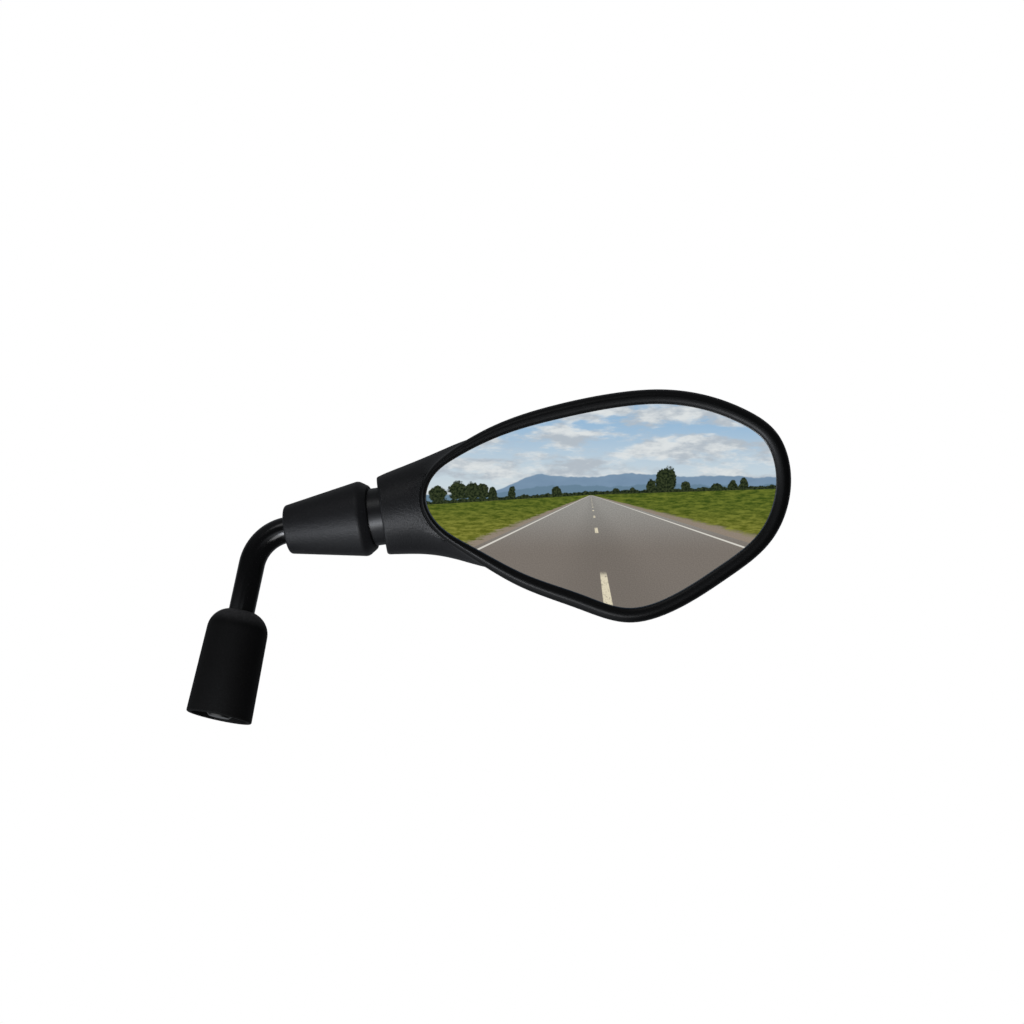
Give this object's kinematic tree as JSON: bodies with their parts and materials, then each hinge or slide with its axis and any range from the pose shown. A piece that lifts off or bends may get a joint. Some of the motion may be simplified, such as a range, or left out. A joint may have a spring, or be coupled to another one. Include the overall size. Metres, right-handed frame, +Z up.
{
  "type": "motorcycle mirror",
  "caption": "Right-hand handlebar mirror: bent stem with a threaded end and rubber boot, friction ball joint, moulded teardrop housing and convex glass in a rim.",
  "frame": {"origin": "on the stem's axis where the full thread starts, at the stem's lower end", "axes": "+X outboard along the head, +Y away from the rider, +Z up, with the glass facing -Y"},
  "size_m": [0.2291, 0.0408, 0.1274],
  "materials": {
    "stem_paint": "gloss black paint on bent steel bar",
    "black_zinc": "black zinc plate",
    "boot_rubber": "matt moulded rubber",
    "collar_black": "smooth semi-gloss black",
    "grained_plastic": "fine moulded grain",
    "rim_plastic": "smooth satin",
    "mirror": "silvered convex glass",
    "liner_plastic": "plain nylon",
    "joint_steel": "zinc-plated steel",
    "tape_foam": "closed-cell foam",
    "plate_plastic": "plain moulded"
  },
  "bodies": {
    "stem": {"stem_rod": "stem_paint", "lock_nut": "black_zinc", "ball_stub": "collar_black", "joint_sleeve": "grained_plastic", "disc_springs": "joint_steel", "flat_washer": "joint_steel", "tension_nut": "joint_steel", "nut_insert": "liner_plastic"},
    "boot": {"stem_boot": "boot_rubber"},
    "swivel_washer": {"spherical_washer": "joint_steel"},
    "ball_liner": {"socket_liner": "liner_plastic"},
    "head": {"housing_shell": "grained_plastic", "bezel_rim": "rim_plastic", "mirror_glass": "mirror", "glass_tape": "tape_foam", "backing_plate": "plate_plastic", "plate_screws": "joint_steel"}
  },
  "joints": [
    {"name": "boot_slide", "type": "slide", "parent": "stem", "child": "boot", "axis": [0.2043, 0.1362, 0.9694], "range_m": [0, 0.0165]},
    {"name": "head_tip", "type": "hinge", "parent": "stem", "child": "swivel_washer", "pos_m": [0.0682, 0.00103, 0.07638], "axis": [0.9773, -0.1564, 0.1426], "continuous": true},
    {"name": "head_pan", "type": "hinge", "parent": "swivel_washer", "child": "ball_liner", "pos_m": [0.0682, 0.00103, 0.07638], "axis": [-0.1444, 0, 0.9895], "range_deg": [-21.5, 3.5]},
    {"name": "head_lift", "type": "hinge", "parent": "ball_liner", "child": "head", "pos_m": [0.0682, 0.00103, 0.07638], "axis": [0, -1, 0], "range_deg": [-8, 8]}
  ]
}
